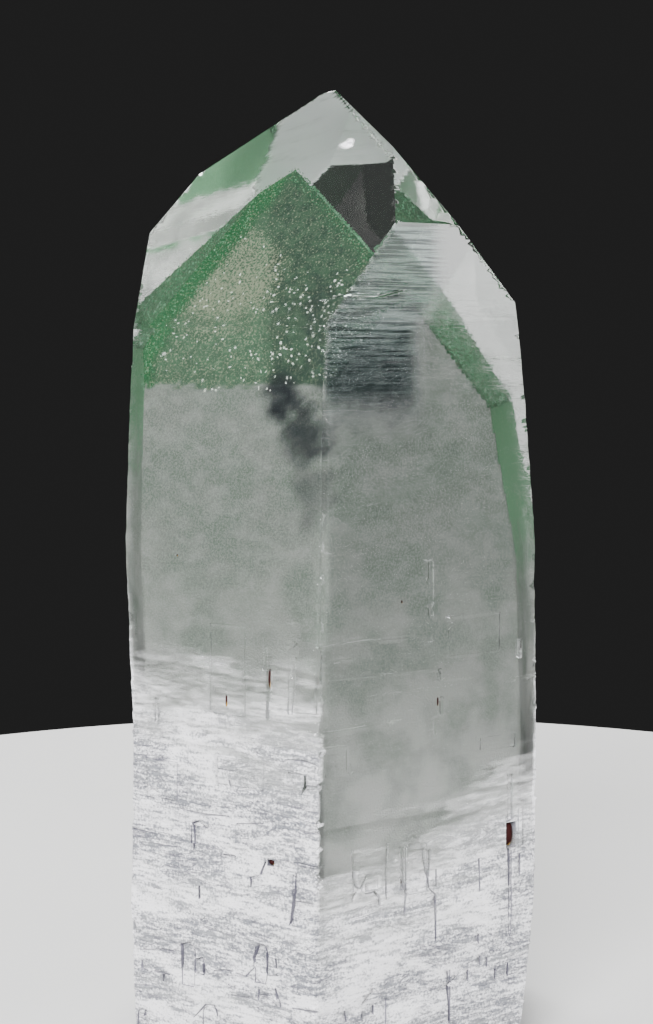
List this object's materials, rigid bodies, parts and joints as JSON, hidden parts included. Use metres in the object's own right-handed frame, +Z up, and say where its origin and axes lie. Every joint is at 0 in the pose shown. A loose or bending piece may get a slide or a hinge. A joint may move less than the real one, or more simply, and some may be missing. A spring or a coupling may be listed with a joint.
{
  "type": "fuchsite in quartz",
  "caption": "Clear quartz crystal with a pointed tip, grown over a milky inner crystal whose tip is dusted with green fuchsite; stands on its cut base.",
  "frame": {"origin": "centre of the bounding box's base, on the cut base that the crystal stands on", "axes": "+Z up along the crystal's length to its tip; -Y is the front, where the edge between the two front prism faces points; +X to its right"},
  "size_m": [0.0344, 0.0376, 0.0826],
  "materials": {
    "clear_quartz": "clear at the tip, turning milky and finely etched towards the base",
    "fuchsite_dust": "milky quartz with a green, faintly sparkling mica dust on the tip faces"
  },
  "bodies": {
    "root": {"quartz_crystal": "clear_quartz", "fuchsite_phantom": "fuchsite_dust"}
  },
  "joints": []
}
